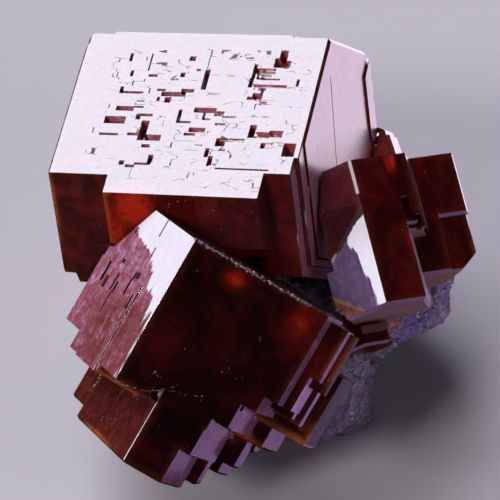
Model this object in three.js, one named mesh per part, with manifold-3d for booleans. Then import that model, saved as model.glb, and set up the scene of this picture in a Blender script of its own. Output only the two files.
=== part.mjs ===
// Vanadinite specimen: three big hexagonal crystals, stepped and pitted, grown round a lump of rock.
// Millimetres, +Z up. Each crystal has its own frame: x along its c axis (the prism's length),
// z out of one flat prism face, and y across that face.
import * as THREE from "three";
import { mergeVertices } from "three/addons/utils/BufferGeometryUtils.js";
import Module from "manifold-3d";

const wasm = await Module();
wasm.setup();

const CONTACT_GAP = 0.3; // left between pieces that grew against each other
const BASE_Z = -17.5; // height of the sawn flat underneath the rock
const COS30 = Math.cos(Math.PI / 6);

// Where each crystal stands: a corner of its flat face, its c axis, and that face's outward normal.
const UPPER = { origin: [7.1, 13.18, 13.18], axis: [0.941, -0.269, 0.205], normal: [-0.259, -0.184, 0.948] };
const LOWER = { origin: [-4.56, -7.57, 8.83], axis: [-0.5, -0.573, -0.649], normal: [-0.028, -0.738, 0.674] };
const RIGHT = { origin: [8.59, 3.05, 8.0], axis: [0.238, -0.831, -0.503], normal: [0.33, -0.417, 0.846] };
const SMALL = { origin: [10.4, -5.6, -4.9], axis: [0.238, -0.831, -0.503], normal: [0.33, -0.417, 0.846] };
const REAR = { origin: [11.3, 16.4, -5.1], axis: [0.3, -0.75, -0.55], normal: [0.2, -0.5, 0.84] };

// ---- Prisms ----

// The six prism faces in order, as seen along the c axis: the flat face, then round by its -y side.
const FACE_ANGLES = [90, 150, 210, 270, 330, 30].map((a) => (a * Math.PI) / 180);

// Six corners [y, z] of a hexagon whose faces lie at the given distances from the frame's x axis.
function hexagon(faces) {
  return faces.map((d, i) => {
    const a = FACE_ANGLES[i];
    const b = FACE_ANGLES[(i + 1) % 6];
    const e = faces[(i + 1) % 6];
    const det = Math.sin(b - a);
    return [(d * Math.sin(b) - e * Math.sin(a)) / det, (e * Math.cos(a) - d * Math.cos(b)) / det];
  });
}

// Closed body through a row of hexagons, each { x, ring }.
function loft(sections) {
  const points = sections.flatMap(({ x, ring }) => ring.map(([y, z]) => [x, y, z]));
  const index = [];
  for (let s = 0; s + 1 < sections.length; s++) {
    for (let i = 0; i < 6; i++) {
      const a = s * 6 + i;
      const b = s * 6 + ((i + 1) % 6);
      index.push(a, b, a + 6, b, b + 6, a + 6);
    }
  }
  const last = (sections.length - 1) * 6;
  for (let i = 1; i < 5; i++) {
    index.push(0, i + 1, i);
    index.push(last, last + i, last + i + 1);
  }
  return solidFrom(points, index);
}

function solidFrom(points, index) {
  const vertProperties = new Float32Array(points.flat());
  const triVerts = new Uint32Array(index);
  return new wasm.Manifold(new wasm.Mesh({ numProp: 3, vertProperties, triVerts }));
}

// A prism from x = from to x = to. startBevel and endBevel cut the rims of its two ends back.
function prism({ from, to, faces, startBevel = 0, endBevel = 0 }, grow = 0) {
  const ring = (shrink) => hexagon(faces.map((d) => d + grow - shrink));
  const lean = 0.8; // bevel's length along the axis, per mm of depth
  const sections = [];
  if (startBevel) sections.push({ x: from - grow, ring: ring(startBevel) });
  sections.push({ x: from - grow + startBevel * lean, ring: ring(0) });
  sections.push({ x: to + grow - endBevel * lean, ring: ring(0) });
  if (endBevel) sections.push({ x: to + grow, ring: ring(endBevel) });
  return loft(sections);
}

// Box between two corners given in a crystal's frame.
function box([x0, y0, z0], [x1, y1, z1]) {
  const g = new THREE.BoxGeometry(x1 - x0, y1 - y0, z1 - z0);
  g.translate((x0 + x1) / 2, (y0 + y1) / 2, (z0 + z1) / 2);
  return solidOf(g);
}

function solidOf(geometry) {
  geometry.deleteAttribute("normal");
  geometry.deleteAttribute("uv");
  const g = mergeVertices(geometry, 1e-4);
  const p = g.attributes.position;
  const points = Array.from({ length: p.count }, (_, i) => [p.getX(i), p.getY(i), p.getZ(i)]);
  return solidFrom(points, Array.from(g.index.array));
}

const union = (solids) => solids.reduce((a, b) => a.add(b));
const cut = (solid, tools) => tools.reduce((a, b) => a.subtract(b), solid);

// ---- Upper crystal ----

const UPPER_LENGTH = 23.1;
const UPPER_BOTTOM = 17.6; // thickness, from the flat top face down
// Distance of a front face whose top edge lies v mm in front of the frame's axis.
const side = (v) => v * COS30;

const upperBlocks = [
  // main body
  { from: -UPPER_LENGTH, to: 0, faces: [0, side(11.3), 19.6, UPPER_BOTTOM, 9.2, 0], startBevel: 0.5, endBevel: 0.3 },
  // slight swelling of the rear edge
  { from: -20.6, to: -3.4, faces: [0, side(11), 19, UPPER_BOTTOM, 9.0, 0.2], startBevel: 0.1, endBevel: 0.1 },
  // lower rear steps that show past the end face
  { from: -21.5, to: -0.25, faces: [-9, side(10), 19, UPPER_BOTTOM, 9.5, -0.1], endBevel: 0.3 },
  { from: -9, to: 0.2, faces: [-10, -7.6, 8, UPPER_BOTTOM - 1.1, 9.5, -0.5], endBevel: 0.1 },
  // front left block, bulging a little lower down
  { from: -UPPER_LENGTH, to: -17.1, faces: [0, side(15.25), 21.8, UPPER_BOTTOM - 0.3, 9, -1], startBevel: 0.35 },
  { from: -22.4, to: -17.6, faces: [-1, side(14.95), 22.6, UPPER_BOTTOM - 0.8, 9, -2], startBevel: 0.9 },
  // front middle block, with its short lower half
  { from: -17.25, to: -2.9, faces: [0, side(17.1), 19.1, UPPER_BOTTOM - 0.6, 8, -1], endBevel: 0.08 },
  // front right blocks
  { from: -4.2, to: -0.55, faces: [0, side(14.5), 21.2, UPPER_BOTTOM - 1, 8, -1], endBevel: 0.08 },
  { from: -3.5, to: -0.15, faces: [0, side(12.8), 20.2, UPPER_BOTTOM - 0.5, 8, -1], endBevel: 0.1 },
];

// Pits in the top face: x where the pit starts, its length along x, y of its rear wall,
// its width across, and its depth.
const upperPits = [
  [-19.1, 2.0, -9.02, 0.8, 1.05],
  [-18.3, 1.7, -7.9, 0.5, 0.6],
  [-16.6, 0.9, -7.85, 0.2, 0.2],
  [-19.2, 1.8, -10.83, 0.25, 0.25],
  [-18.45, 2.3, -6.27, 0.25, 0.25],
  [-18.45, 0.35, -5.8, 0.7, 0.5],
  [-16.0, 1.35, -8.65, 0.3, 0.4],
  [-16.2, 0.45, -8.7, 0.6, 0.7],
  [-15.5, 0.75, -9.4, 1.7, 1.35],
  [-15.5, 2.2, -10.87, 0.65, 0.95],
  [-16.55, 1.2, -10.72, 0.3, 0.35],
  [-14.9, 0.8, -11.9, 0.35, 0.4],
  [-16.55, 0.5, -13.7, 0.45, 0.4],
  [-15.9, 0.9, -14.1, 0.3, 0.3],
  [-15.1, 1.5, -13.85, 0.25, 0.25],
  [-13.95, 0.45, -13.0, 0.9, 0.5],
  [-14.4, 2.3, -6.22, 0.5, 0.65],
  [-14.9, 0.8, -5.92, 0.25, 0.25],
  [-12.6, 1.2, -5.85, 0.4, 0.5],
  [-10.85, 0.5, -3.7, 2.2, 0.85],
  [-13.95, 0.6, -6.8, 0.6, 0.6],
  [-14.7, 0.3, -6.8, 0.45, 0.3],
  [-12.3, 0.35, -8.1, 1.4, 0.5],
  [-12.3, 1.4, -9.3, 0.25, 0.25],
  [-10.9, 2.1, -7.83, 0.55, 0.8],
  [-8.9, 0.9, -8.15, 0.55, 0.6],
  [-8.1, 1.3, -8.65, 0.2, 0.2],
  [-9.95, 0.25, -8.3, 0.85, 0.4],
  [-9.9, 0.75, -8.95, 0.2, 0.2],
  [-10.9, 1.55, -9.97, 0.5, 0.65],
  [-11.25, 1.1, -10.55, 0.3, 0.3],
  [-8.6, 0.95, -9.42, 0.25, 0.3],
  [-8.1, 2.6, -11.0, 0.35, 0.4],
  [-8.1, 0.9, -11.02, 0.85, 1.2],
  [-8.85, 0.4, -12.1, 0.95, 0.45],
  [-8.4, 0.45, -12.9, 0.8, 0.5],
  [-8.4, 0.95, -13.68, 0.3, 0.3],
  [-4.25, 0.75, -1.42, 1.1, 1.2],
  [-4.6, 1.05, -2.28, 1.05, 1.6],
  [-3.6, 0.55, -2.55, 0.85, 0.9],
  [-6.15, 1.9, -3.42, 0.6, 0.8],
  [-6.4, 0.35, -3.0, 1.5, 0.6],
  [-5.9, 0.75, -3.85, 0.8, 1.25],
  [-5.3, 0.75, -3.9, 0.45, 0.5],
  [-5.4, 1.7, -4.5, 0.2, 0.25],
  [-6.5, 0.4, -4.5, 0.9, 0.45],
  [-6.5, 3.6, -5.17, 0.35, 0.45],
  [-5.45, 0.7, -5.3, 0.55, 0.9],
  [-5.15, 0.25, -5.7, 1.3, 0.4],
  [-5.85, 0.85, -6.1, 0.7, 1.0],
  [-6.3, 0.8, -6.5, 0.35, 0.5],
  [-5.0, 0.65, -7.0, 0.4, 0.4],
  [-5.3, 0.65, -9.5, 1.05, 0.7],
  [-5.3, 2.0, -10.22, 0.65, 0.9],
  [-3.4, 1.25, -10.03, 0.7, 1.0],
  [-3.9, 1.1, -11.35, 0.6, 0.5],
  [-1.8, 1.15, -11.3, 1.4, 2.4],
  [-2.95, 1.2, -11.25, 0.15, 0.15],
  [-2.1, 0.3, -4.5, 0.8, 0.3],
  [-18.4, 0.3, -2.1, 0.9, 0.3],
  [-17.9, 0.3, -4.0, 0.65, 0.3],
  [-16.1, 0.85, -4.35, 0.3, 0.35],
  [-13.1, 0.45, -4.1, 0.5, 0.4],
  [-12.65, 0.6, -2.3, 0.5, 0.5],
  [-11.7, 0.4, -3.65, 0.25, 0.25],
  [-16.35, 0.15, -2.1, 1.9, 0.15],
  [-17.45, 0.12, -5.1, 0.6, 0.15],
  [-16.5, 0.7, -7.25, 0.13, 0.15],
  [-12.2, 0.13, -11.6, 0.6, 0.15],
  [-9.9, 0.7, -11.75, 0.12, 0.15],
];

function upperCrystal(grow = 0) {
  const body = union(upperBlocks.map((b) => prism(b, grow)));
  if (grow) return body;
  const pits = upperPits.map(([x, length, y, width, depth]) =>
    box([x, y - width, -depth], [x + length, y, 1]),
  );
  // thin groove across the front of the middle block, and a longer one down the right end face
  const slit = box([-7.5, -14.27, -0.15], [-2.6, -14.1, 1]);
  const groove = box([-0.15, -0.08, -8.4], [1, 0.08, 0]).rotate([-36.9, 0, 0]).translate([0, -2.6, -2.2]);
  // the rear left corner is planed off
  const corner = box([0, -3, -9], [2, 3, 2]).rotate([0, 0, 135]).rotate([30, 0, 0]).translate([-22.75, -0.3, 0]);
  return cut(body, [...pits, slit, groove, corner]);
}

// ---- Lower crystal ----

// Its flat front face is face 0, and the bright face on its -y side is face 1.
const LOWER_BACK = 15.5;
const lowerBlocks = [
  // upper body, in steps down its left side
  { from: 0, to: 8.6, faces: [0, 0, 11.3, LOWER_BACK, 13.6, 11.2] },
  { from: 0, to: 10.1, faces: [0, 0, 11.3, LOWER_BACK, 12.8, 10.1] },
  { from: 0, to: 12.4, faces: [0, 0, 11.3, LOWER_BACK, 12.9, 8.9] },
  { from: 0, to: 13.55, faces: [0, 0, 8.7, LOWER_BACK, 11.8, 7.6] },
  { from: 5.95, to: 12.5, faces: [-3, -0.12, 11.65, LOWER_BACK - 1, 12, 7] },
  { from: 4, to: 14.15, faces: [-3, 0, 8.7, LOWER_BACK - 0.5, 11, 7] },
  { from: 6, to: 14.3, faces: [-3.4, 0.12, 7.2, LOWER_BACK - 0.7, 11, 7] },
  // terraces down the right side
  { from: 0.35, to: 8.6, faces: [-0.78, -1, 9, LOWER_BACK - 1, 14, 11.9] },
  { from: 0.35, to: 5.3, faces: [-0.78, -1, 9, LOWER_BACK - 1, 14.3, 12.65] },
  { from: 0.45, to: 6.1, faces: [-1.25, -1, 9, LOWER_BACK - 1.2, 14.8, 13.2] },
  { from: 5.3, to: 9.2, faces: [-1.5, -1, 9, LOWER_BACK - 1.2, 13.8, 11.9] },
  { from: 5.8, to: 9.5, faces: [-2.1, -1, 9, LOWER_BACK - 1.5, 14.9, 12.35] },
  { from: 4.1, to: 10.85, faces: [-2.8, -2, 8, LOWER_BACK - 2, 17.5, 13.1], endBevel: 0.25 },
  // lower body
  { from: 10, to: 19.4, faces: [0, -3.5, 6.05, 12.4, 9.68, 6.65], endBevel: 0.25 },
  { from: 10, to: 18.2, faces: [-4, -3.6, 8.4, 13.2, 11, 6.6], endBevel: 0.2 },
  { from: 10, to: 16.1, faces: [0, -3.5, 6.05, 13.4, 11.3, 7.5], endBevel: 0.1 },
  { from: 9, to: 12.6, faces: [-0.5, -1, 9, LOWER_BACK - 0.9, 12.9, 8.9], endBevel: 0.1 },
  { from: 12, to: 18.5, faces: [-3, -3.8, 5.5, 11.6, 11.05, 7.5], endBevel: 0.4 },
  // small parallel crystals low on the right
  { from: 8.5, to: 13, faces: [-3.5, -4, 4, 10, 16.05, 10.1], endBevel: 0.3 },
  { from: 9, to: 14, faces: [-5.2, -4, 4, 10.5, 14.86, 8.9], endBevel: 0.5 },
  { from: 11, to: 16.9, faces: [-5, -4, 4, 10.5, 14.3, 7.5], endBevel: 0.25 },
  { from: 12.5, to: 15.7, faces: [-4.2, -4, 4, 10, 13.9, 8.7], endBevel: 0.3 },
];

// Slots in the bright side face: x start, length, distance across from the front edge, width, depth.
const lowerSlots = [
  [5.95, 1.85, 11.1, 0.4, 0.35],
  [7.1, 1.1, 10.1, 0.6, 0.3],
  [6.3, 1.7, 8.75, 0.3, 0.25],
  [7.95, 2.1, 8.2, 0.4, 0.35],
  [6.95, 1.1, 7.9, 0.3, 0.25],
  [5.3, 2.2, 5.95, 0.3, 0.25],
  [5.2, 0.55, 5.3, 0.55, 0.3],
  [7.0, 1.4, 4.4, 0.25, 0.2],
  [5.05, 0.35, 8.7, 0.85, 0.25],
  [2.1, 0.6, 9.6, 0.7, 0.2],
  [0.0, 1.7, 5.8, 0.2, 0.15],
  [2.6, 0.8, 5.3, 0.2, 0.15],
];

// Box let into a side face that leans 60 degrees from the front face, through its front edge at y.
function sideSlot([x, length, across, width, depth], y = 0) {
  const g = new THREE.BoxGeometry(length, width, depth + 1);
  g.translate(x + length / 2, -across - width / 2, (1 - depth) / 2);
  g.rotateX(Math.PI / 3);
  g.translate(0, y, 0);
  return solidOf(g);
}

function lowerCrystal(grow = 0) {
  const body = union(lowerBlocks.map((b) => prism(b, grow)));
  if (grow) return body;
  const slots = lowerSlots.map((s) => sideSlot(s));
  // notches in the flat front face where the stepped lower body begins
  const notches = [
    box([12.2, 3.25, -1.2], [13.6, 4.03, 1]),
    box([10.1, 10.4, -0.6], [10.7, 11.1, 1]),
  ];
  return cut(body, [...slots, ...notches]);
}

// ---- Right-hand pair ----

const rightBlocks = [
  { from: 0, to: 13.3, faces: [0, 0, 3.9, 6.4, 6.9, 3.35], endBevel: 0.35 },
  { from: 0, to: 6.4, faces: [0, 0, 3.9, 6.2, 7.2, 4.7], startBevel: 0.05, endBevel: 0.2 },
  { from: 0.9, to: 7.0, faces: [-0.5, -0.2, 3.9, 6.2, 7.4, 4.8], endBevel: 0.3 },
  { from: 8.6, to: 12.6, faces: [-0.5, 0, 4.6, 6.1, 6.9, 3.2], startBevel: 0.05, endBevel: 0.6 },
  // rear crystal of the pair, with a low step across it
  { from: -0.2, to: 10.5, faces: [-3.25, -3, 3, 7.6, 12.2, 8.2], endBevel: 0.25 },
  { from: -0.2, to: 5.5, faces: [-2.8, -3.2, 3, 7.4, 12.4, 8.4], endBevel: 0.3 },
  { from: 0, to: 10.45, faces: [-2.8, -3.2, 3, 7.2, 9, 5.9], endBevel: 0.2 },
];

function rightCrystals(grow = 0) {
  const body = union(rightBlocks.map((b) => prism(b, grow)));
  if (grow) return body;
  const cornerCut = box([-3, -5, -12], [3, 5, 3]).rotate([0, 0, 37.9]).translate([12.1, 12.4, 0]);
  const pits = [
    box([-1, 3.35, -1.7], [1.85, 4.2, 1]),
    box([3.87, 3.95, -0.9], [6.0, 4.7, 1]),
    box([5.6, 4.95, -0.7], [7.0, 5.45, 1]),
  ];
  // the front edge is planed off for its first 3 mm
  const planedEdge = box([-1, -2, -0.08], [3.1, 2, 1]).rotate([30, 0, 0]);
  return cut(body, [cornerCut, planedEdge, ...pits]);
}

// ---- Small crystal under the pair ----

const smallCrystal = (grow = 0) =>
  prism({ from: -2.4, to: 1.3, faces: [1.6, 1.9, 1.9, 1.9, 1.8, 1.8], endBevel: 0.25 }, grow);

// ---- Rear crystal, rounded over ----

const rearBlocks = [
  { from: -3.4, to: 3.4, faces: [2.7, 2.6, 2.6, 2.8, 2.7, 2.6], startBevel: 1.3, endBevel: 0.8 },
  { from: -2.6, to: 3.1, faces: [2.4, 2.8, 2.4, 2.6, 2.9, 2.8], startBevel: 1.0, endBevel: 0.5 },
];
const rearCrystal = (grow = 0) => union(rearBlocks.map((b) => prism(b, grow)));

// ---- Rock ----

// Lumps of the rock: centre and radii in mm, and how far in the broken faces lie, as a share
// of the radius.
const rockLumps = [
  { at: [1.0, 8.5, -11.5], radii: [13.0, 9.8, 8.6], broken: 0.86 },
  { at: [-6.5, 7.0, -12.5], radii: [8.4, 8.8, 7.2], broken: 0.86 },
  { at: [6.8, -3.1, -14.2], radii: [4.6, 5.6, 6.0], broken: 0.91 },
  { at: [12.7, 4.0, -8.5], radii: [6.2, 5.9, 5.8], broken: 0.91 },
  { at: [8.4, 4.8, -12.2], radii: [5.8, 6.2, 6.0], broken: 0.86 },
  { at: [3.0, 15.0, -9.5], radii: [9.2, 6.2, 7.6], broken: 0.86 },
];
// Lumps that are one block of rock, by their place in the list.
const rockBlocks = [[0, 1], [0, 5], [0, 4], [3, 4], [2]];
const BROKEN_FACES = 26;
const ROCK_GRAIN = 1.0; // edge length of the rock's surface mesh

// Directions spread evenly round a lump, turned by its number so that no two lumps match.
function direction(k, turn) {
  const up = 1 - (2 * k + 1) / BROKEN_FACES;
  const round = 2.4 * k + turn;
  const flat = Math.sqrt(1 - up * up);
  return new THREE.Vector3(flat * Math.cos(round), flat * Math.sin(round), up);
}

function lump({ at, radii, broken }, number) {
  const g = new THREE.IcosahedronGeometry(1, 7);
  const centre = new THREE.Vector3(...at);
  const size = new THREE.Vector3(...radii);
  g.scale(...radii).translate(...at);
  let solid = solidOf(g);
  for (let k = 0; k < BROKEN_FACES; k++) {
    const d = direction(k, number);
    const reach = d.clone().multiply(size).length() * (broken + 0.07 * Math.sin(5 * k + number));
    solid = solid.trimByPlane([-d.x, -d.y, -d.z], -(d.dot(centre) + reach));
  }
  return solid;
}

// Pushes a point of the rock about by a few crossed waves, so that its faces are uneven.
function roughen(p) {
  const [x, y, z] = p;
  p[0] += 0.3 * Math.sin(1.1 * y + 0.8 * z + 1.3) + 0.16 * Math.sin(2.9 * z - 2.1 * y + 0.4);
  p[1] += 0.3 * Math.sin(1.2 * z - 0.7 * x + 2.1) + 0.16 * Math.sin(2.7 * x + 2.3 * z + 1.9);
  p[2] += 0.3 * Math.sin(0.9 * x + 1.1 * y + 0.6) + 0.16 * Math.sin(3.1 * y - 2.4 * x + 2.7);
}

function rockBody() {
  const lumps = rockLumps.map(lump);
  const blocks = rockBlocks.map((group) => wasm.Manifold.hull(group.map((i) => lumps[i])));
  return union(blocks).refineToLength(ROCK_GRAIN).warp(roughen);
}

// ---- Assembly ----

// Turns a solid in a crystal's frame into one in the specimen's frame.
function placed(solid, { origin, axis, normal }) {
  const x = new THREE.Vector3(...axis).normalize();
  const z = new THREE.Vector3(...normal).addScaledVector(x, -new THREE.Vector3(...normal).dot(x)).normalize();
  const y = new THREE.Vector3().crossVectors(z, x);
  const m = new THREE.Matrix4().makeBasis(x, y, z).setPosition(...origin);
  return solid.transform(m.elements);
}

const upper = placed(upperCrystal(), UPPER);
const upperRoom = placed(upperCrystal(CONTACT_GAP), UPPER);
const lower = placed(lowerCrystal(), LOWER).subtract(upperRoom);
const lowerRoom = placed(lowerCrystal(CONTACT_GAP), LOWER);
const right = cut(placed(rightCrystals(), RIGHT), [upperRoom, lowerRoom]);
const rightRoom = placed(rightCrystals(CONTACT_GAP), RIGHT);
const small = cut(placed(smallCrystal(), SMALL), [lowerRoom, rightRoom]);
const smallRoom = placed(smallCrystal(CONTACT_GAP), SMALL);
const rear = cut(placed(rearCrystal(), REAR), [upperRoom, lowerRoom, rightRoom]);
const rearRoom = placed(rearCrystal(CONTACT_GAP), REAR);

const floor = box([-60, -60, BASE_Z - 60], [60, 60, BASE_Z]);
const rooms = [upperRoom, lowerRoom, rightRoom, smallRoom, rearRoom];
const rock = cut(rockBody(), [floor, ...rooms]);

// The largest body of a solid, without slivers cut loose from it.
function main(solid) {
  return solid.decompose().sort((a, b) => b.volume() - a.volume())[0];
}

function meshOf(name, solid, color, roughness) {
  const { vertProperties, triVerts } = main(solid).getMesh();
  const g = new THREE.BufferGeometry();
  g.setAttribute("position", new THREE.BufferAttribute(vertProperties, 3));
  g.setIndex(new THREE.BufferAttribute(triVerts, 1));
  const flat = g.toNonIndexed();
  flat.computeVertexNormals();
  const mesh = new THREE.Mesh(flat, new THREE.MeshStandardMaterial({ color, roughness, metalness: 0 }));
  mesh.name = name;
  return mesh;
}

const specimen = new THREE.Group();
specimen.add(
  meshOf("upper_crystal", upper, 0x5a1410, 0.12),
  meshOf("lower_crystal", lower, 0x5a1410, 0.12),
  meshOf("right_crystals", right, 0x5a1410, 0.12),
  meshOf("rear_crystal", rear, 0x8a2a14, 0.25),
  meshOf("small_crystal", small, 0x4a1c12, 0.25),
  meshOf("matrix", rock, 0x6f6480, 0.85),
);

// The specimen stands on z = 0, centred over the origin.
const bounds = new THREE.Box3().setFromObject(specimen);
const middle = bounds.getCenter(new THREE.Vector3());
for (const mesh of specimen.children) {
  mesh.geometry.translate(-middle.x, -middle.y, -bounds.min.z);
}

export default specimen;
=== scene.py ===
"""Looks of the vanadinite specimen: translucent, stepped prism crystals on a lump of druse-covered rock.

Five pieces replace the crystals' solids and one replaces the rock's, each on the solid's own facets. Four
more are made of small broken grains: the druse on the rock, and the chips on three of the crystals.
"""

import math
import random
from types import SimpleNamespace

import bmesh
import bpy
from mathutils import Euler, Matrix, Vector, noise
from mathutils.kdtree import KDTree


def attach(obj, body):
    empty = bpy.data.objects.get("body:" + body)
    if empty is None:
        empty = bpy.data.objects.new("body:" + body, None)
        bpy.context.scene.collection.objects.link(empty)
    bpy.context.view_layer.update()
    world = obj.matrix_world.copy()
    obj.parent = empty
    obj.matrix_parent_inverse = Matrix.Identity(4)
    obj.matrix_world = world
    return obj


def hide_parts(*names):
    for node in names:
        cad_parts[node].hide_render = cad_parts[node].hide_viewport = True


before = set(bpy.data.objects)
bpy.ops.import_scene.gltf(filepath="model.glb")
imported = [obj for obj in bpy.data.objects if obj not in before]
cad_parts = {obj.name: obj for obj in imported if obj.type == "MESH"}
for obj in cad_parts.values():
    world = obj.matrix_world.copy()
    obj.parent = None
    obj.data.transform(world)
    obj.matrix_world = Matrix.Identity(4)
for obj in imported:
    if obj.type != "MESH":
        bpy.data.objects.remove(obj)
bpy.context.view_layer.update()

MM = 0.001
# The solids' own millimetre frames sit this far from the row frame.
SHIFT = Vector((-1.149, -2.349, 17.5))


# ---- Crystal frames: x along the c axis, z out of the flat face ----

def crystal_frame(origin, axis, normal):
    x = Vector(axis).normalized()
    z = Vector(normal)
    z = (z - x * z.dot(x)).normalized()
    m = Matrix((x, z.cross(x), z)).transposed().to_4x4()
    m.translation = (Vector(origin) + SHIFT) * MM
    return m


UPPER = crystal_frame((7.1, 13.18, 13.18), (0.941, -0.269, 0.205), (-0.259, -0.184, 0.948))
LOWER = crystal_frame((-4.56, -7.57, 8.83), (-0.5, -0.573, -0.649), (-0.028, -0.738, 0.674))
RIGHT = crystal_frame((8.59, 3.05, 8.0), (0.238, -0.831, -0.503), (0.33, -0.417, 0.846))
SMALL = crystal_frame((10.4, -5.6, -4.9), (0.238, -0.831, -0.503), (0.33, -0.417, 0.846))
REAR = crystal_frame((11.3, 16.4, -5.1), (0.3, -0.75, -0.55), (0.2, -0.5, 0.84))


# ---- Node trees ----

# A face counts as turned a given way from the first to the second of these cosines of the angle between them.
FACING = (0.93, 0.985)


class Web:
    """A material's node tree, with one method for each kind of node that is used here."""

    def __init__(self, name):
        self.mat = bpy.data.materials.new(name)
        self.mat.use_nodes = True
        self.tree = self.mat.node_tree
        self.tree.nodes.clear()

    def put(self, kind, inputs=None, **props):
        node = self.tree.nodes.new(kind)
        for key, value in props.items():
            setattr(node, key, value)
        for key, value in (inputs or {}).items():
            socket = node.inputs[key]
            if isinstance(value, bpy.types.NodeSocket):
                self.tree.links.new(value, socket)
            else:
                socket.default_value = value
        return node

    def millimetres(self):
        """Millimetres in the row frame."""
        return self.scaled(self.put("ShaderNodeTexCoord").outputs["Object"], (1 / MM, 1 / MM, 1 / MM))

    def local(self, matrix):
        """Millimetres in a crystal's own frame."""
        turn = matrix.to_3x3().transposed()
        away = -(turn @ matrix.translation) / MM
        return self.put("ShaderNodeMapping", {
            "Vector": self.put("ShaderNodeTexCoord").outputs["Object"],
            "Location": away, "Rotation": turn.to_euler(), "Scale": (1 / MM, 1 / MM, 1 / MM)}).outputs[0]

    def vector(self, operation, a, b):
        return self.put("ShaderNodeVectorMath", {0: a, 1: b}, operation=operation).outputs[0]

    def scaled(self, vector, by):
        return self.vector("MULTIPLY", vector, by)

    def dot(self, vector, direction):
        return self.put("ShaderNodeVectorMath", {0: vector, 1: direction},
                        operation="DOT_PRODUCT").outputs["Value"]

    def math(self, operation, a, b=0.0, clamp=False):
        return self.put("ShaderNodeMath", {0: a, 1: b}, operation=operation, use_clamp=clamp).outputs[0]

    def product(self, *factors, clamp=False):
        result = factors[0]
        for factor in factors[1:-1]:
            result = self.math("MULTIPLY", result, factor)
        return self.math("MULTIPLY", result, factors[-1], clamp)

    def span(self, value, low, high, to=(0.0, 1.0), **props):
        """The value, brought from one range to another and held inside it."""
        inputs = {"Value": value, "From Min": low, "From Max": high, "To Min": to[0], "To Max": to[1]}
        return self.put("ShaderNodeMapRange", inputs, **props).outputs[0]

    def noise(self, vector, scale, detail=3.0, rough=0.5, warp=0.0):
        return self.put("ShaderNodeTexNoise", {
            "Vector": vector, "Scale": scale, "Detail": detail, "Roughness": rough, "Distortion": warp,
        }).outputs["Fac"]

    def ramp(self, fac, *stops):
        node = self.put("ShaderNodeValToRGB", {"Fac": fac})
        marks = node.color_ramp.elements
        while len(marks) < len(stops):
            marks.new(0.5)
        for mark, (at, colour) in zip(marks, stops):
            mark.position = at
            mark.color = (*colour, 1) if isinstance(colour, tuple) else (colour,) * 3 + (1,)
        return node.outputs["Color"]

    def mix(self, fac, a, b, blend="MIX"):
        node = self.put("ShaderNodeMix", data_type="RGBA", blend_type=blend, clamp_factor=True)
        for index, value in ((0, fac), (6, a), (7, b)):
            socket = node.inputs[index]
            if isinstance(value, bpy.types.NodeSocket):
                self.tree.links.new(value, socket)
            else:
                socket.default_value = (*value, 1) if isinstance(value, tuple) else value
        return node.outputs[2]

    def toward(self, matrix, local):
        """1 on faces whose normal lies along this direction of the crystal's frame, else 0."""
        normal = self.put("ShaderNodeNewGeometry").outputs["True Normal"]
        return self.span(self.dot(normal, matrix.to_3x3() @ Vector(local)), *FACING)

    def beyond(self, vector, direction, level):
        """1 where a point lies further along a direction than this level."""
        return self.math("GREATER_THAN", self.dot(vector, direction), level)

    def within(self, vector, low, high):
        """1 inside a box."""
        sides = []
        for axis, a, b in zip(self.put("ShaderNodeSeparateXYZ", {0: vector}).outputs, low, high):
            sides += [self.math("GREATER_THAN", axis, a), self.math("LESS_THAN", axis, b)]
        return self.product(*sides)

    def blob(self, vector, centre, radii):
        """1 at the centre of an ellipsoid, falling to 0 at its surface."""
        away = self.scaled(self.vector("SUBTRACT", vector, centre), tuple(1 / r for r in radii))
        length = self.put("ShaderNodeVectorMath", {0: away}, operation="LENGTH").outputs["Value"]
        return self.span(length, 1.0, 0.0, interpolation_type="SMOOTHSTEP")

    def bump(self, height, strength, distance=0.1 * MM, under=None):
        inputs = {"Height": height, "Strength": strength, "Distance": distance}
        if under is not None:
            inputs["Normal"] = under
        return self.put("ShaderNodeBump", inputs).outputs[0]

    def finish(self, shader, volume=None):
        out = self.put("ShaderNodeOutputMaterial")
        self.tree.links.new(shader.outputs[0], out.inputs["Surface"])
        if volume:
            self.tree.links.new(volume.outputs[0], out.inputs["Volume"])
        return self.mat


# ---- Crystal material ----

CRYSTAL_IOR = 2.3
ABSORPTION_COLOUR = (0.94, 0.40, 0.05, 1)
# The edges carry a painted glow, for light shining through the thin outer part of the crystal.
RIM_WIDTH = 0.75    # mm from an edge at which its glow ends
END_ROUGHNESS = 0.24    # of the prism's near end, at +x, which is etched
# tint of the painted glow under the surface, for light coming through from inside
PAINTED_GLOW_TINT = (0.78, 0.036, 0.012)
CRACK_TINT = (0.10, 0.015, 0.045)
DUST_TINT = (0.70, 0.42, 0.40)
# Two opposite corners of boxes in the upper crystal's frame, in millimetres.
PITS_BOX = ((-20, -15, -2.6), (-0.2, -1, 0.02))
CRACKS_BOX = ((-20, -16.5, -0.05), (-1.0, -1.5, 0.05))
SLIT_BOX = ((-7.6, -14.4, -0.3), (-2.5, -14.0, -0.01))


class Coats:
    """A crystal's colour, opacity and roughness, with coats laid over them one after another: painted glows,
    painted reflections, highlights and shade, cracks and dust.
    """

    def __init__(self, web, colour, opacity, rough):
        self.web, self.colour, self.opacity, self.rough = web, colour, opacity, rough

    def lay(self, amount, tint, cover=None, rough=None):
        """Lays a coat of this tint where amount is 1; cover is how much of the light it stops."""
        stopped = amount if cover is None else self.web.math("MULTIPLY", amount, cover)
        self.colour = self.web.mix(amount, self.colour, tint)
        self.opacity = self.web.math("MAXIMUM", self.opacity, stopped)
        if rough is not None:
            self.rough = self.web.mix(amount, self.rough, (rough, rough, rough))


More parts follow.
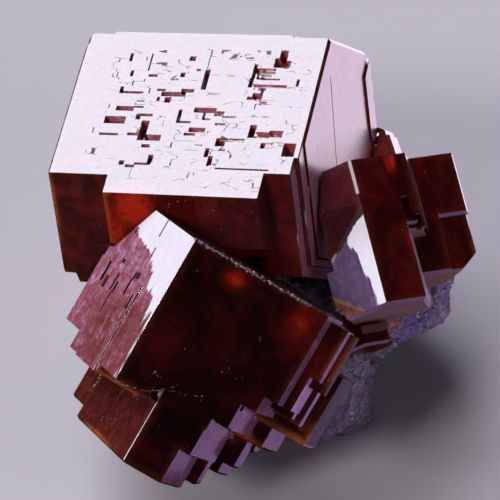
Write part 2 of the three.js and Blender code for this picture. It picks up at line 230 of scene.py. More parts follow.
def painted_rim_glow(web, spot, glow, rims):
    """How much painted glow, for light shining through the thin outer part, lies along the edges; rims are
    places in the crystal's frame with more.
    """
    edge = web.put("ShaderNodeAttribute", attribute_name="edge_distance").outputs["Fac"]
    lit = glow
    for centre, radii, strength in rims:
        lit = web.math("ADD", web.product(web.blob(spot, centre, radii), strength), lit)
    return web.product(web.math("POWER", web.span(edge, RIM_WIDTH, 0.0), 1.3), lit, clamp=True)


def painted_pit_wall_sheen(web, matrix, spot):
    """1 on the walls of the top face's pits that look to the front or to the prism's far end, where painted
    reflection and light are laid.
    """
    walls = web.math("ADD", web.toward(matrix, (0, -1, 0)), web.toward(matrix, (-1, 0, 0)))
    return web.product(walls, web.within(spot, *PITS_BOX), clamp=True)


def cracks(web, place, spot):
    """1 on the top face's hairline cracks, which keep to the crystal's axes, and down one long slit."""
    warp = web.put("ShaderNodeTexNoise", {"Vector": place, "Scale": 1.6, "Detail": 3.0}).outputs["Color"]
    bent = web.vector("ADD", web.scaled(place, (0.30, 0.75, 0.0)), web.scaled(warp, (0.06, 0.06, 0.0)))
    cells = {"Vector": bent, "Scale": 1.0, "Randomness": 1.0}
    nearest, second = (
        web.put("ShaderNodeTexVoronoi", cells, feature=feature, distance="CHEBYCHEV").outputs["Distance"]
        for feature in ("F1", "F2"))
    lines = web.ramp(web.math("SUBTRACT", second, nearest), (0.014, 1.0), (0.024, 0.0))
    broken = web.ramp(web.noise(place, 0.9, 3, 0.6), (0.50, 0.0), (0.56, 0.9))
    net = web.product(lines, broken, web.within(spot, *CRACKS_BOX))
    return web.math("MAXIMUM", net, web.within(spot, *SLIT_BOX))


def dust(web, place):
    """1 on specks and tiny chips, strewn in patches."""
    specks = web.put("ShaderNodeTexVoronoi", {"Vector": place, "Scale": 2.2, "Randomness": 1.0})
    return web.product(web.ramp(specks.outputs["Distance"], (0.075, 1.0), (0.115, 0.0)),
                       web.ramp(specks.outputs["Color"], (0.55, 0.0), (0.60, 1.0)),
                       web.ramp(web.noise(place, 0.5, 2, 0.5), (0.48, 0.0), (0.60, 0.8)))


def film(angle, tints, limit=(), level=-0.3, start=0.0, strength=1.0, wobble=0.0, soft=0.05, gloss=0.3,
         clear=0.0):
    """Satin coat of colour on the faces above level, at this angle round the c axis or on the near end
    (None).
    Many are painted reflections, highlights and shade.

    limit is a curve of (place along the crystal, how far across the face the coat reaches), from start on.
    wobble makes it uneven, and soft is the width over which it fades. gloss is the coat's roughness, and
    clear lets the painted rim glow show through. Lengths are in millimetres."""
    return SimpleNamespace(angle=angle, tints=tints, limit=limit, level=level, start=start, strength=strength,
                           wobble=wobble, soft=soft, gloss=gloss, clear=clear)


def face_axes(angle):
    """Normal of a face in its crystal's frame, and the direction that runs up across it."""
    if angle is None:
        return (1, 0, 0), (0, 1, 0)
    a = math.radians(angle)
    return (0, math.cos(a), math.sin(a)), (0, -math.sin(a), math.cos(a))


def sheen_and_tint_cover(web, matrix, spot, streaks, rim, coat):
    """How much of a film lies on each place."""
    normal, across = face_axes(coat.angle)
    cover = web.product(web.toward(matrix, normal), web.beyond(spot, normal, coat.level))
    if coat.limit:
        length = max(at for at, _ in coat.limit) - coat.start
        reach = max(abs(edge) for _, edge in coat.limit)
        run = web.put("ShaderNodeSeparateXYZ", {0: spot}).outputs["Z" if coat.angle is None else "X"]
        stops = (((at - coat.start) / length, 0.5 + 0.5 * edge / reach) for at, edge in coat.limit)
        curve = web.ramp(web.span(run, coat.start, coat.start + length), *stops)
        curve = web.span(curve, 0.0, 1.0, (-reach, reach))
        curve = web.math("ADD", curve, web.span(streaks, 0.3, 0.7, (-coat.wobble, coat.wobble)))
        inside = web.math("SUBTRACT", curve, web.dot(spot, across))
        cover = web.product(cover, web.span(inside, 0.0, coat.soft))
    cover = web.product(cover, coat.strength, clamp=True)
    if coat.clear:
        cover = web.product(cover, web.math("SUBTRACT", 1.0, web.product(rim, coat.clear)))
    return cover


def vanadinite(name, matrix, seed=0.0, density=2000.0, body=1.0, glow=0.2, marks=(), rims=(), films=(),
               pits=False, back=0.1):
    """Dark red translucent crystal. marks are patches of painted glow under the surface, for light coming
    through from inside, and rims are places with a stronger painted glow at the edges, each (centre in the
    crystal's frame, radii, strength) in millimetres. films are made by film(); many are painted reflections,
    highlights and shade. body scales the inner colour, glow is the painted glow of all edges, and back is the
    roughness of the prism's far end, at -x."""
    web = Web(name)
    spot = web.local(matrix)
    place = web.vector("ADD", spot, (seed, seed * 1.7, seed * 0.6))
    streaks = web.noise(web.scaled(place, (0.12, 1.0, 1.0)), 2.2, 6, 0.6)
    fine = web.noise(web.scaled(place, (0.25, 2.0, 2.0)), 5.0, 4, 0.6)
    clouds = web.noise(place, 0.30, 6, 0.62, 0.8)
    wisps = web.noise(place, 1.1, 6, 0.7, 1.0)

    # thick parts are dark, and a painted orange-brown glow, for light shining through the thin outer part,
    # runs along the edges in places
    inner = web.ramp(clouds, (0.38, (0.11, 0.005, 0.007)), (0.51, (0.27, 0.012, 0.011)),
                     (0.64, (0.60, 0.030, 0.018)))
    inner = web.mix(web.ramp(wisps, (0.52, 0.0), (0.70, 0.55)), inner, (0.75, 0.06, 0.02))
    inner = web.mix(1.0, inner, (body, body, body), "MULTIPLY")
    rim = painted_rim_glow(web, spot, glow, rims)
    glowing = web.ramp(wisps, (0.35, (0.50, 0.075, 0.022)), (0.65, (0.75, 0.22, 0.08)))
    colour = web.mix(rim, inner, glowing)
    opacity = web.math("ADD", web.product(rim, 0.30), 0.20)
    rough = web.ramp(streaks, (0.3, 0.015), (0.7, 0.06))
    rough = web.mix(web.toward(matrix, (1, 0, 0)), rough, (END_ROUGHNESS,) * 3)
    rough = web.mix(web.toward(matrix, (-1, 0, 0)), rough, (back, back, back))
    coats = Coats(web, colour, opacity, rough)

    # patches of painted glow, lighter red and partly opaque, for light coming through from inside
    for centre, radii, strength in marks:
        painted_glow_patch = web.product(web.blob(spot, centre, radii), web.ramp(wisps, (0.28, 0.45), (0.70, 1.0)))
        coats.lay(web.product(painted_glow_patch, strength, clamp=True), PAINTED_GLOW_TINT, cover=0.6)
    if pits:
        # painted reflection and light on the pit walls: red to pink and lilac, brighter than the shade they
        # lie in
        tint = web.ramp(wisps, (0.40, (0.95, 0.12, 0.05)), (0.48, (0.85, 0.20, 0.26)),
                        (0.58, (0.95, 0.46, 0.66)))
        coats.lay(painted_pit_wall_sheen(web, matrix, spot), tint, cover=0.9)
        coats.lay(cracks(web, place, spot), CRACK_TINT, rough=1.0)
    mottle = web.mix(0.35, wisps, streaks)
    # coats of colour on the faces, many of them painted reflections, highlights and shade
    for coat in films:
        cover = sheen_and_tint_cover(web, matrix, spot, streaks, rim, coat)
        coats.lay(cover, web.ramp(mottle, *coat.tints), rough=coat.gloss)
    coats.lay(dust(web, place), DUST_TINT)

    shader = web.put("ShaderNodeBsdfPrincipled", {
        "Base Color": coats.colour, "Roughness": coats.rough, "IOR": CRYSTAL_IOR,
        "Transmission Weight": web.math("SUBTRACT", 1.0, coats.opacity, clamp=True),
        "Normal": web.bump(fine, 0.010, under=web.bump(streaks, 0.03))})
    volume = web.put("ShaderNodeVolumeAbsorption", {"Color": ABSORPTION_COLOUR, "Density": density})
    return web.finish(shader, volume)


# ---- Rock and grain materials ----

# Patches of other colour on the rock: centre and radii in row millimetres, strength, colour.
# The first is painted light: a paler patch on the lobe, which lies in the crystals' shade.
ROCK_PATCHES_AND_PAINTED_LIGHT = (
    ((6.0, -7.0, 4.5), (6.5, 6.5, 6.5), 0.7, (0.38, 0.35, 0.43)),
    ((13.5, -3.0, 8.0), (3.5, 4.0, 3.5), 0.8, (0.17, 0.14, 0.36)),
    ((17.5, 0.5, 9.5), (3.0, 6.0, 4.5), 0.8, (0.42, 0.34, 0.56)),
    ((11.9, -3.7, 9.1), (1.1, 1.5, 1.5), 1.5, (0.50, 0.13, 0.04)),
)
LAVENDER_GREY = (0.23, 0.20, 0.30)
IRON_BROWN = (0.16, 0.07, 0.035)


def rock_material():
    web = Web("druse_rock")
    spot = web.millimetres()
    clouds = web.noise(spot, 0.40, 6, 0.6, 0.4)
    patches = web.noise(spot, 1.2, 5, 0.65, 0.6)
    stains = web.noise(spot, 0.22, 3, 0.5)
    grain = web.noise(spot, 6.0, 5, 0.7)
    colour = web.ramp(clouds, (0.32, (0.080, 0.062, 0.082)), (0.5, (0.17, 0.142, 0.185)),
                      (0.68, (0.33, 0.30, 0.36)))
    colour = web.mix(web.ramp(patches, (0.56, 0.0), (0.70, 0.7)), colour, LAVENDER_GREY)
    colour = web.mix(web.ramp(stains, (0.56, 0.0), (0.70, 0.5)), colour, IRON_BROWN)
    # patches of other colour, the first of them painted light on the shaded lobe
    for centre, radii, strength, tint in ROCK_PATCHES_AND_PAINTED_LIGHT:
        colour = web.mix(web.product(web.blob(spot, centre, radii), strength), colour, tint)
    speckle = web.ramp(grain, (0.35, (0.15, 0.13, 0.17)), (0.68, (0.85, 0.82, 0.9)))
    shader = web.put("ShaderNodeBsdfPrincipled", {
        "Base Color": web.mix(0.5, colour, speckle, "OVERLAY"),
        "Roughness": web.ramp(grain, (0.3, 0.35), (0.8, 0.7)), "Normal": web.bump(grain, 0.5)})
    return web.finish(shader)


def grain_material(name, dark, pale):
    web = Web(name)
    tone = web.noise(web.millimetres(), 5.0, 4, 0.6)
    shader = web.put("ShaderNodeBsdfPrincipled", {
        "Base Color": web.ramp(tone, (0.35, dark), (0.65, pale)),
        "Roughness": web.ramp(tone, (0.3, 0.15), (0.7, 0.5)),
        "IOR": CRYSTAL_IOR, "Transmission Weight": 0.2, "Normal": web.bump(tone, 0.3, 0.05 * MM)})
    return web.finish(shader)


# ---- Meshes ----

SHARP = math.radians(18)    # an edge that turns by more than this is one of the crystal's own
FLAT = math.radians(0.4)    # faces that turn by less than this are joined
WELD = 0.002 * MM    # corners closer than this are joined


def add_object(name, mesh):
    piece = bpy.data.objects.new(name, mesh)
    bpy.context.scene.collection.objects.link(piece)
    return piece


def copy_of(node, name):
    """A new object with a copy of the CAD node's mesh."""
    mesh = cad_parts[node].data.copy()
    mesh.materials.clear()
    return add_object(name, mesh)


def opened(mesh):
    bm = bmesh.new()
    bm.from_mesh(mesh)
    return bm


def save(bm, mesh):
    bm.to_mesh(mesh)
    bm.free()


def edge_points(bm, step=0.12 * MM, shortest=2.5 * MM):
    """Points along the long outer edges of a crystal."""
    points = []
    for e in bm.edges:
        length = e.calc_length()
        if len(e.link_faces) == 2 and length > shortest and e.calc_face_angle_signed(0) > SHARP:
            count = int(length / step)
            a, b = (v.co for v in e.verts)
            points += [a.lerp(b, i / count) for i in range(count + 1)]
    return points


def slice_up(bm, matrix, cell, lead=0.37):
    """Cuts every face into cells along the crystal's own axes. lead moves the cuts by a part of a cell, so
    that none runs along a face."""
    bmesh.ops.triangulate(bm, faces=bm.faces)
    inverse = matrix.inverted()
    spots = [inverse @ v.co for v in bm.verts]
    for k in range(3):
        low, high = min(p[k] for p in spots), max(p[k] for p in spots)
        normal = matrix.to_3x3() @ Vector([float(k == j) for j in range(3)])
        for i in range(1, int((high - low) / cell) + 1):
            local = Vector([0.0, 0.0, 0.0])
            local[k] = low + (i - lead) * cell
            geom = bm.verts[:] + bm.edges[:] + bm.faces[:]
            bmesh.ops.bisect_plane(bm, geom=geom, dist=1e-7, plane_co=matrix @ local, plane_no=normal)
    bmesh.ops.triangulate(bm, faces=bm.faces)


def crystal(node, slot_name, matrix, width=0.05, segments=2, cell=0.35, shortest=0.7, **looks):
    """The piece that replaces a crystal. Its edges longer than shortest are broken by width, and its faces
    are cut into cells, whose corners hold the distance to the long edges. Lengths are in millimetres, and
    looks go to vanadinite()."""
    material = vanadinite(slot_name, matrix, **looks)
    piece = copy_of(node, node + "_looks")
    bm = opened(piece.data)
    bmesh.ops.remove_doubles(bm, verts=bm.verts, dist=WELD)
    bmesh.ops.dissolve_limit(bm, angle_limit=FLAT, verts=bm.verts, edges=bm.edges)
    save(bm, piece.data)

    bm = opened(piece.data)
    points = edge_points(bm)
    sharp = [e for e in bm.edges
             if len(e.link_faces) == 2 and e.calc_face_angle(0) > SHARP and e.calc_length() > shortest * MM]
    bmesh.ops.bevel(bm, geom=sharp, offset=width * MM, segments=segments, affect="EDGES", profile=0.5,
                    clamp_overlap=True)
    slice_up(bm, matrix, cell * MM)
    tree = KDTree(len(points))
    for i, point in enumerate(points):
        tree.insert(point, i)
    tree.balance()
    layer = bm.verts.layers.float.new("edge_distance")
    for v in bm.verts:
        v[layer] = tree.find(v.co)[2] / MM
    save(bm, piece.data)
    piece.data.materials.append(material)
    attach(piece, "root")
    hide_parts(node)


def grain_shapes(count=14, corners=9):
    """Corners and triangles of a few broken grains of unit size."""
    shapes = []
    for _ in range(count):
        bm = bmesh.new()
        for _ in range(corners):
            way = Vector((random.gauss(0, 1), random.gauss(0, 1), random.gauss(0, 1))).normalized()
            bm.verts.new(way * random.uniform(0.75, 1.0))
        hull = bmesh.ops.convex_hull(bm, input=bm.verts)
        loose = {v for v in hull["geom_interior"] + hull["geom_unused"] if isinstance(v, bmesh.types.BMVert)}
        bmesh.ops.delete(bm, geom=list(loose), context="VERTS")
        bm.verts.index_update()
        shapes.append(([v.co.copy() for v in bm.verts], [[v.index for v in f.verts] for f in bm.faces]))
        bm.free()
    return shapes


def grains(name, shapes, spots, material):
    """One piece made of many small broken grains, each (centre in metres, radius in metres)."""
    corners, triangles = [], []
    for centre, radius in spots:
        points, faces = random.choice(shapes)
        turn = Euler([random.uniform(0, math.tau) for _ in range(3)]).to_matrix() * radius
        triangles += [[len(corners) + i for i in face] for face in faces]
        corners += [centre + turn @ p for p in points]
    mesh = bpy.data.meshes.new(name)
    mesh.from_pydata(corners, [], triangles)
    mesh.materials.append(material)
    piece = add_object(name, mesh)
    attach(piece, "root")


def along(matrix, lines, scatter=0.035, radii=(0.02, 0.06)):
    """Grains strewn along each line, in millimetres in the crystal's frame."""
    spots = []
    for start, end, count in lines:
        for _ in range(count):
            at = Vector(start).lerp(Vector(end), random.random())
            at += Vector([random.gauss(0, scatter) for _ in range(3)])
            spots.append((matrix @ (at * MM), random.uniform(*radii) * MM))
    return spots


def chipped_edge(count=440):
    """Grains along the lower crystal's top edge."""
    spots = []
    for _ in range(count):
        y = random.uniform(-0.1, 11.5)
        at = Vector((random.gauss(0.03, 0.07), y, random.gauss(-0.02, 0.04)))
        spots.append((LOWER @ (at * MM), random.uniform(0.03, 0.10) * MM))
    return spots


def broken_notch(count=60):
    """Grains in the break on the lower crystal's front."""
    spots = []
    for _ in range(count):
        at = Vector((random.uniform(12.45, 13.1), random.uniform(3.75, 4.2), random.uniform(-1.1, -0.2)))
        spots.append((LOWER @ (at * MM), random.uniform(0.06, 0.15) * MM))
    return spots


LONGEST_ROCK_EDGE = 0.35    # mm; longer ones are cut in three
# The rock's relief: lumps per millimetre, their height and how far they are sunk, in millimetres.
ROCK_RELIEF = ((0.8, 0.32, 0.16), (2.4, 0.12, 0.10))
RELIEF_STARTS = 0.15    # mm above the base
RELIEF_RISE = 0.5    # mm over which it grows to its full height
GRAINS_START = 0.7    # mm above the base
GRAIN_RADII = (0.09, 0.13, 0.18, 0.26)
GRAIN_LIFT = 0.02
# Where noise of this scale and place is above the level there is crust, with more grains a square millimetre.
CRUST_SCALE, CRUST_PLACE, CRUST_LEVEL = 0.35, Vector((3.7, 0, 0)), 0.08
CRUST_GRAINS, BARE_GRAINS = 9.0, 1.2


def rock():
    """The piece that replaces the rock, broken into small facets; returns the places of the grains on it."""
    piece = copy_of("matrix", "matrix_looks")
    bm = opened(piece.data)
    bmesh.ops.remove_doubles(bm, verts=bm.verts, dist=WELD)
    long_edges = [e for e in bm.edges if e.calc_length() > LONGEST_ROCK_EDGE * MM]
    bmesh.ops.subdivide_edges(bm, edges=long_edges, cuts=2, use_grid_fill=True)
    bmesh.ops.triangulate(bm, faces=bm.faces)
    bm.normal_update()
    moves = []
    for v in bm.verts:
        p = v.co / MM
        full = min(1.0, max(0.0, (p.z - RELIEF_STARTS) / RELIEF_RISE))
        height = 0.0
        for lumps, tall, sunk in ROCK_RELIEF:
            near, next_near = noise.voronoi(p * lumps, distance_metric="DISTANCE")[0][:2]
            height += tall * (next_near - near) - sunk
        moves.append(v.normal * (height * full * MM))
    for v, move in zip(bm.verts, moves):
        v.co += move
    bmesh.ops.triangulate(bm, faces=bm.faces)
    bm.normal_update()
    seats = []
    for f in bm.faces:
        centre = f.calc_center_median()
        crust = noise.noise(centre / MM * CRUST_SCALE + CRUST_PLACE)
        wanted = f.calc_area() / MM ** 2 * (CRUST_GRAINS if crust > CRUST_LEVEL else BARE_GRAINS)
        if centre.z > GRAINS_START * MM and random.random() < wanted:
            seats.append((centre + f.normal * GRAIN_LIFT * MM, random.choice(GRAIN_RADII) * MM))
    save(bm, piece.data)
    piece.data.materials.append(rock_material())
    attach(piece, "root")
    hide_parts("matrix")
    return seats


# ---- Each crystal's painted glow patches, painted rim glows and films (many of them painted reflections, highlights and shade), in millimetres in its own frame ----

# Patches of painted glow under the surface: centre and radii in the crystal's frame, and strength.
UPPER_GLOW_PATCHES = (
    ((-14.6, -17.6, -1.5), (3.8, 3.4, 4.0), 1.7),
    ((-16.5, -18.8, -3.6), (2.2, 2.4, 3.2), 1.2),
    ((-8.2, -17.6, -1.4), (1.6, 1.4, 1.0), 0.7),
    ((-22.5, -14.8, -6.0), (1.6, 3.0, 5.0), 0.5),
    ((-19.5, -15.4, -8.5), (3.0, 3.0, 3.2), 0.35),
    ((-5.0, -19.9, -5.0), (3.4, 1.6, 1.0), 0.35),
    ((-1.2, -12.2, -1.9), (1.5, 1.6, 1.4), 1.0),
    ((-4.2, -2.2, -1.3), (1.6, 2.6, 1.2), 1.0),
    ((-2.0, -14.5, -1.5), (2.2, 2.0, 2.5), 0.5),
)
LOWER_GLOW_PATCHES = (
    ((1.25, 4.6, 0.0), (1.5, 1.8, 1.0), 1.1),
    ((1.7, 11.2, 0.0), (3.4, 2.4, 1.2), 0.8),
    ((4.0, 14.0, -0.7), (4.5, 1.6, 1.4), 0.5),
    ((8.6, 1.5, 0.0), (4.5, 3.0, 1.5), 0.25),
)
RIGHT_GLOW_PATCHES = (
    ((8.0, 8.9, -3.0), (4.5, 2.0, 2.5), 0.45),
    ((0.4, 3.8, -1.0), (2.0, 1.0, 2.2), 3.0),
    ((8.0, 3.9, -0.5), (2.2, 0.9, 1.5), 1.2),
    ((11.5, 2.8, -0.2), (3.0, 2.0, 1.2), 0.5),
    ((2.0, 2.0, 0.0), (3.0, 2.5, 1.5), 0.2),
)
# Places with a stronger painted glow along the edges: centre and radii in the crystal's frame, and strength.
UPPER_RIMS = (
    ((-23.1, -15.5, -5.0), (1.5, 5.0, 8.0), 2.0),
    ((-23.1, -17.0, -11.0), (4.0, 5.0, 5.0), 2.0),
    ((-17.2, -18.5, -3.0), (1.3, 5.0, 6.0), 2.0),
    ((-10.0, -19.9, -6.0), (10.0, 2.0, 2.0), 0.8),
)
LOWER_RIMS = (
    ((16.5, 0.5, -5.0), (5.5, 6.5, 7.0), 2.2),
    ((8.0, -7.0, -9.5), (7.0, 3.5, 4.0), 1.6),
    ((12.0, 10.0, -3.0), (5.0, 6.0, 3.0), 0.8),
    ((11.5, 16.5, -3.0), (4.0, 3.5, 3.0), 1.4),
    ((3.0, 15.5, -1.2), (4.0, 1.5, 1.5), 1.0),
)
RIGHT_RIMS = (
    ((12.5, -1.5, -5.5), (4.0, 3.0, 4.0), 2.0),
    ((1.5, -3.0, -5.0), (3.0, 2.5, 3.5), 1.2),
    ((9.0, 12.5, -3.5), (4.0, 2.5, 2.5), 0.8),
)

# Tints of the films, each from where the mottling is low to where it is high. PAINTED_REFLECTION_MAUVE,
# PAINTED_REFLECTION_LAVENDER, PAINTED_REFLECTION_LILAC and PAINTED_REFLECTION_BRIGHT_LILAC are painted
# reflections, and PAINTED_HIGHLIGHT_WHITE and PAINTED_HIGHLIGHT_PINK painted highlights.
BRICK = ((0.38, (0.12, 0.014, 0.010)), (0.48, (0.21, 0.030, 0.026)), (0.56, (0.25, 0.055, 0.065)),
         (0.65, (0.44, 0.20, 0.31)))
PAINTED_REFLECTION_MAUVE = ((0.38, (0.33, 0.055, 0.050)), (0.46, (0.33, 0.080, 0.115)), (0.53, (0.44, 0.17, 0.27)),
         (0.61, (0.64, 0.42, 0.68)))
GARNET = ((0.38, (0.08, 0.008, 0.007)), (0.50, (0.14, 0.015, 0.011)), (0.66, (0.28, 0.055, 0.040)))
PAINTED_REFLECTION_LAVENDER = ((0.38, (0.036, 0.003, 0.060)), (0.50, (0.056, 0.007, 0.095)), (0.64, (0.15, 0.055, 0.24)))
PAINTED_HIGHLIGHT_WHITE = ((0.40, (0.88, 0.86, 0.93)), (0.60, (0.97, 0.96, 1.0)))
PAINTED_HIGHLIGHT_PINK = ((0.40, (0.70, 0.40, 0.56)), (0.60, (0.92, 0.72, 0.88)))
BLUSH = ((0.40, (0.42, 0.10, 0.19)), (0.60, (0.62, 0.21, 0.35)))
# painted shade for the lower front of the upper crystal's near end
PAINTED_SHADE_ROSE = ((0.40, (0.32, 0.06, 0.12)), (0.60, (0.50, 0.13, 0.24)))
PAINTED_REFLECTION_LILAC = ((0.40, (0.45, 0.13, 0.32)), (0.60, (0.72, 0.34, 0.66)))
PAINTED_REFLECTION_BRIGHT_LILAC = ((0.40, (0.55, 0.22, 0.60)), (0.60, (0.85, 0.48, 0.90)))
SLATE = ((0.40, (0.03, 0.015, 0.022)), (0.60, (0.08, 0.05, 0.08)))
DARK_BROWN = ((0.40, (0.050, 0.012, 0.010)), (0.60, (0.10, 0.022, 0.014)))
DARK_PLUM = ((0.40, (0.022, 0.006, 0.014)), (0.60, (0.070, 0.024, 0.050)))
WINE = ((0.40, (0.07, 0.012, 0.020)), (0.60, (0.14, 0.035, 0.055)))
DARK_RED = ((0.40, (0.09, 0.02, 0.018)), (0.60, (0.22, 0.05, 0.04)))
AMBER = ((0.40, (0.26, 0.045, 0.016)), (0.60, (0.46, 0.13, 0.05)))
BROWN = ((0.40, (0.11, 0.032, 0.012)), (0.60, (0.22, 0.080, 0.032)))
RUST = ((0.40, (0.13, 0.036, 0.018)), (0.60, (0.28, 0.10, 0.065)))
REAR_HAZE = ((0.40, (0.17, 0.050, 0.070)), (0.60, (0.33, 0.13, 0.17)))

UPPER_SHEENS_AND_TINTS = (
    # the near end: a broad blush, and over it a darker, rougher rose of painted shade towards the front,
    # wider low down
    film(None, BLUSH, ((-18, 5), (-9.5, -3.5), (-4, -6.5), (0, -14)), start=-18.0, strength=0.95, soft=5.0,
         gloss=0.36),
    film(None, PAINTED_SHADE_ROSE, ((-18, -5.0), (-8, -8.2), (-5, -10.2), (-2.8, -11.3), (-1.3, -12.1), (0, -13.0)),
         level=-1.0, start=-18.0, strength=0.92, soft=1.6, gloss=1.0),
    # the front faces: brown on the left block, and plum that comes in to the right of it
    film(150, DARK_BROWN, ((-23.1, 30), (-17.4, 30), (-17.3, -30), (0, -30)), level=12.0, start=-23.1,
         strength=0.5, clear=1.0),
    film(150, DARK_PLUM, ((-17.3, -30), (-12, -30), (-7, 30), (0, 30)), level=12.0, start=-17.3, strength=0.4,
         clear=1.0),
)
LOWER_SHEENS_AND_TINTS = (
    # the left faces: the sunk steps, with a painted white highlight, then the main face: painted mauve
    # reflection, brick low down, and a painted white highlight at its top and right edge
    film(150, GARNET, level=-4.3, strength=0.75, clear=1.0),
    film(150, PAINTED_HIGHLIGHT_WHITE, ((12.4, -30), (12.6, -30), (12.7, -1.91), (20, -1.91)), level=-3.7, start=12.4,
         strength=0.95, soft=0.03),
    film(150, PAINTED_REFLECTION_MAUVE, level=-0.4, strength=0.92, gloss=0.35),
    film(150, BRICK, ((0.0, -2.0), (5.0, -2.0), (9.0, 14.0), (14.5, 14.0)), level=-0.4, strength=0.9,
         wobble=2.5, soft=6.0, gloss=0.35),
    film(150, PAINTED_HIGHLIGHT_WHITE, ((0.0, 12.0), (2.1, 11.0), (2.7, 8.9), (3.3, 5.6), (4.5, 4.0), (5.7, 2.9), (6.2, 1.7),
                      (7.1, 1.0), (7.8, 0.5), (8.7, 0.08), (14.5, 0.08)), level=-0.4, wobble=1.0, soft=0.25,
         gloss=0.12),
    # painted white highlight on the narrow faces between
    film(120, PAINTED_HIGHLIGHT_WHITE, level=-4.6, strength=0.8, gloss=0.2),
    # the stepped faces at the lower right, from the deepest step outwards: painted lilac reflections, then
    # dark slate
    film(30, PAINTED_REFLECTION_LILAC, level=2.0, strength=0.55, gloss=0.25),
    film(30, PAINTED_REFLECTION_BRIGHT_LILAC, level=11.75, strength=0.85),
    film(30, PAINTED_REFLECTION_LILAC, level=12.4, strength=0.5, gloss=0.25),
    film(30, SLATE, level=12.9, strength=0.9, gloss=1.0),
)
RIGHT_SHEENS_AND_TINTS = (
    # the left face: wine at the top, amber at the bottom, and a painted lavender reflection and painted white
    # highlight along its right edge
    film(150, WINE, ((0, 6), (3.0, 6), (4.4, -1), (14, -1)), level=-0.4, strength=0.4, soft=0.5),
    film(150, AMBER, ((0, -8), (9.4, -8), (9.7, 8), (14, 8)), level=-0.4, strength=0.75, soft=0.5),
    film(150, PAINTED_REFLECTION_LAVENDER, ((0, -0.6), (5.0, -0.2), (5.3, 0.4), (6.6, 2.6), (8.3, 4.9), (9, 8), (10.4, 6.0),
                         (11.6, 4.4), (13.0, 2.6), (14, 2.0)), level=-0.4, strength=0.95, wobble=0.3,
         soft=0.5, gloss=1.0),
    film(150, PAINTED_HIGHLIGHT_WHITE, ((0, -0.3), (4.9, -0.2), (5.1, 0.4), (6.3, 2.2), (6.9, 2.4), (7.2, 2.1), (8.2, 1.55),
                      (9.7, 1.3), (10.7, 1.05), (12.7, 1.04), (14, 1.04)), level=-0.4, wobble=0.35, soft=0.1,
         gloss=0.2),
    # painted white highlight on the narrow faces between
    film(120, PAINTED_HIGHLIGHT_WHITE, level=-0.4, strength=0.8, gloss=0.2),
    # the near ends, and the faces on the right of each prism: a painted pink-white highlight, then dark red
    # further out
    film(None, BROWN, level=3.0, strength=0.92, gloss=1.0),
    film(None, RUST, level=12.4, strength=0.8, gloss=0.55),
    film(30, PAINTED_HIGHLIGHT_PINK, level=3.0, strength=0.85),
    film(30, DARK_RED, level=3.8, strength=0.8, gloss=0.2),
)

# Scratches and chips: two ends in the crystal's frame in millimetres, and the number of grains.
LOWER_SCRATCHES = (
    ((13.82, -0.19, 0.0), (13.50, 1.38, 0.0), 14), ((13.50, 1.38, 0.0), (13.09, 3.09, 0.0), 12),
    ((13.09, 3.09, 0.0), (12.23, 4.06, 0.0), 10), ((12.23, 4.06, 0.0), (11.82, 5.77, 0.0), 8),
    ((11.82, 5.77, 0.0), (10.70, 8.04, 0.0), 10), ((9.29, 6.26, 0.0), (8.23, 8.08, 0.0), 6),
    ((17.12, 0.58, -6.00), (18.14, 0.68, -5.82), 7), ((16.63, 0.95, -5.35), (17.90, 1.23, -4.87), 8),
    ((16.46, 1.54, -4.33), (17.67, 1.66, -4.13), 8), ((17.63, 0.69, -5.80), (16.80, 2.12, -3.33), 6),
    ((14.60, 0.99, -5.29), (15.61, 0.97, -5.32), 10), ((14.59, -1.38, -9.40), (15.64, -1.15, -9.00), 8),
    ((16.08, -1.33, -9.31), (15.24, -1.30, -9.25), 6), ((14.38, 1.65, -4.14), (14.51, 2.77, -2.21), 5),
    ((15.05, 0.0, -7.00), (14.42, 0.04, -6.92), 5), ((11.91, 2.42, 0.0), (11.25, 2.72, 0.0), 7),
    ((11.86, 4.53, 0.0), (11.31, 4.80, 0.0), 7), ((11.56, 2.70, 0.0), (11.59, 3.30, 0.0), 5),
    ((12.09, 7.00, 0.0), (11.28, 7.21, 0.0), 6), ((6.09, 8.40, 0.0), (6.99, 8.53, 0.0), 5),
    ((4.03, 8.76, 0.0), (4.74, 8.88, 0.0), 5),
)
UPPER_SCRATCHES = (
    ((-11.04, -17.45, -0.60), (-11.48, -18.04, -1.62), 8),
    ((-7.41, -17.70, -1.05), (-6.78, -17.79, -1.19), 7),
    ((-10.85, -17.44, -0.59), (-9.33, -17.31, -0.37), 8),
    ((-9.88, -17.61, -0.89), (-9.47, -17.12, -0.04), 5),
)
RIGHT_SCRATCHES = (
    ((2.97, -1.39, -2.40), (3.54, -1.36, -2.36), 7), ((3.01, -1.97, -3.41), (3.75, -1.97, -3.42), 5),
)


# ---- The pieces ----

crystal("upper_crystal", "vanadinite_upper", UPPER, body=0.85, marks=UPPER_GLOW_PATCHES, rims=UPPER_RIMS,
        films=UPPER_SHEENS_AND_TINTS, pits=True)
crystal("lower_crystal", "vanadinite_lower", LOWER, seed=3.1, body=0.22, back=0.22, marks=LOWER_GLOW_PATCHES,
        rims=LOWER_RIMS, films=LOWER_SHEENS_AND_TINTS)
crystal("right_crystals", "vanadinite_right", RIGHT, seed=7.7, density=3200.0, body=0.5, marks=RIGHT_GLOW_PATCHES,
        rims=RIGHT_RIMS, films=RIGHT_SHEENS_AND_TINTS)
# The rear and small crystals have a stronger painted glow along all their edges.
crystal("rear_crystal", "vanadinite_rear", REAR, width=0.5, segments=4, seed=11.3, density=1000.0, body=2.4,
        glow=1.2, films=(film(90, REAR_HAZE, level=-30.0, strength=0.5),))
crystal("small_crystal", "vanadinite_small", SMALL, seed=15.9, glow=0.8)

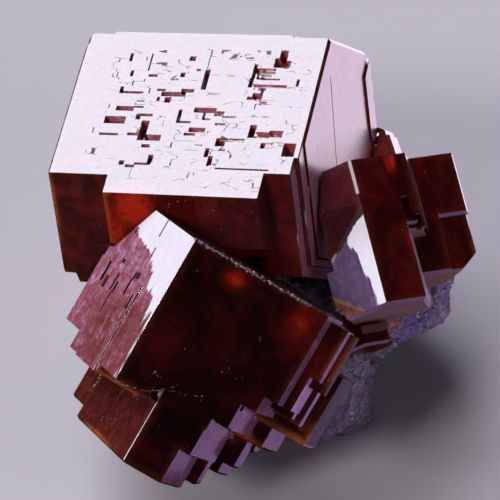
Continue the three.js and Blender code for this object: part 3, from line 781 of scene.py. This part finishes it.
random.seed(7)
shapes = grain_shapes()
chipped = grain_material("chipped_vanadinite", (0.10, 0.03, 0.04), (0.62, 0.50, 0.58))
lower_spots = chipped_edge() + broken_notch() + along(LOWER, LOWER_SCRATCHES)
grains("lower_chips", shapes, lower_spots, chipped)
grains("upper_chips", shapes, along(UPPER, UPPER_SCRATCHES), chipped)
grains("right_chips", shapes, along(RIGHT, RIGHT_SCRATCHES), chipped)
druse = rock()
grains("druse", shapes, druse,
       grain_material("druse_grains", (0.16, 0.12, 0.20), (0.62, 0.56, 0.72)))


# ---- Stage, lights and camera ----

FLOOR_HALF = 4.0
BACKDROP = (0.55, 0.54, 0.56, 1)    # what the camera sees past the floor
ROOM_DIM = (0.007, 0.006, 0.008, 1)    # what the crystals see of the dark room

# Soft suns: the direction that they stand in, strength, colour, and their width in degrees.
SUNS = {
    "key": ((-0.41, 0.45, 0.79), 3.18, (0.891, 0.863, 1.0), 50),
    "fill": ((-0.55, -0.55, 0.63), 1.3, (1.0, 0.93, 0.96), 15),
    "side": ((0.62, -0.68, 0.40), 0.38, (0.92, 0.84, 1.0), 40),
}
# Cards that lie by the specimen and light its lower faces: centre and size in millimetres, radiance, colour.
CARDS = {
    "card_back_right": ((50.5, 53, 1.5), (65, 70), 1.95, (0.98, 0.78, 1.0)),
    "card_front_right": ((44, -18, 1.5), (50, 60), 0.42, (0.72, 0.46, 1.0)),
    "card_front_low": ((10.5, -25, 0.8), (17, 20), 0.42, (0.72, 0.46, 1.0)),
}


def light(name, kind, towards, energy, colour, place, **props):
    """A lamp whose light travels along the direction `towards`."""
    data = bpy.data.lights.new(name, kind)
    data.energy = energy
    data.color = colour
    for key, value in props.items():
        setattr(data, key, value)
    lamp = add_object(name, data)
    lamp.location = place
    lamp.rotation_mode = "QUATERNION"
    lamp.rotation_quaternion = Vector(towards).to_track_quat("-Z", "Y")
    lamp.visible_camera = False


floor_mesh = bpy.data.meshes.new("floor")
floor_mesh.from_pydata([(-FLOOR_HALF, -FLOOR_HALF, 0), (FLOOR_HALF, -FLOOR_HALF, 0),
                        (FLOOR_HALF, FLOOR_HALF, 0), (-FLOOR_HALF, FLOOR_HALF, 0)], [], [(0, 1, 2, 3)])
floor = add_object("floor", floor_mesh)
web = Web("floor")
floor_mesh.materials.append(web.finish(web.put("ShaderNodeBsdfPrincipled", {
    "Base Color": (0.50, 0.49, 0.51, 1), "Roughness": 0.8, "Specular IOR Level": 0.2})))
floor.visible_glossy = False

for name, (stand, strength, colour, spread) in SUNS.items():
    light(name, "SUN", -Vector(stand), strength, colour, Vector(stand), angle=math.radians(spread))
for name, (centre, size, radiance, colour) in CARDS.items():
    width, height = (s * MM for s in size)
    light(name, "AREA", (0, 0, 1), radiance * 4 * width * height, colour, Vector(centre) * MM,
          shape="RECTANGLE", size=width, size_y=height)

world = bpy.data.worlds.new("studio")
world.use_nodes = True
bpy.context.scene.world = world
tree = world.node_tree
tree.nodes.clear()
both = tree.nodes.new("ShaderNodeMixShader")
tree.links.new(tree.nodes.new("ShaderNodeLightPath").outputs["Is Camera Ray"], both.inputs[0])
for socket, colour in ((1, ROOM_DIM), (2, BACKDROP)):
    background = tree.nodes.new("ShaderNodeBackground")
    background.inputs["Color"].default_value = colour
    tree.links.new(background.outputs[0], both.inputs[socket])
tree.links.new(both.outputs[0], tree.nodes.new("ShaderNodeOutputWorld").inputs["Surface"])

# The photograph looks down on the specimen from the front, with a long lens.
camera_data = bpy.data.cameras.new("camera")
camera_data.lens = 205.7
camera_data.sensor_width = 36.0
camera_data.clip_start = 0.01
camera_data.clip_end = 20.0
camera = add_object("camera", camera_data)
camera.location = (-0.001149, -0.180340, 0.195492)
camera.rotation_euler = (math.radians(45), 0, 0)
bpy.context.scene.camera = camera
bpy.context.scene.view_settings.view_transform = "Standard"
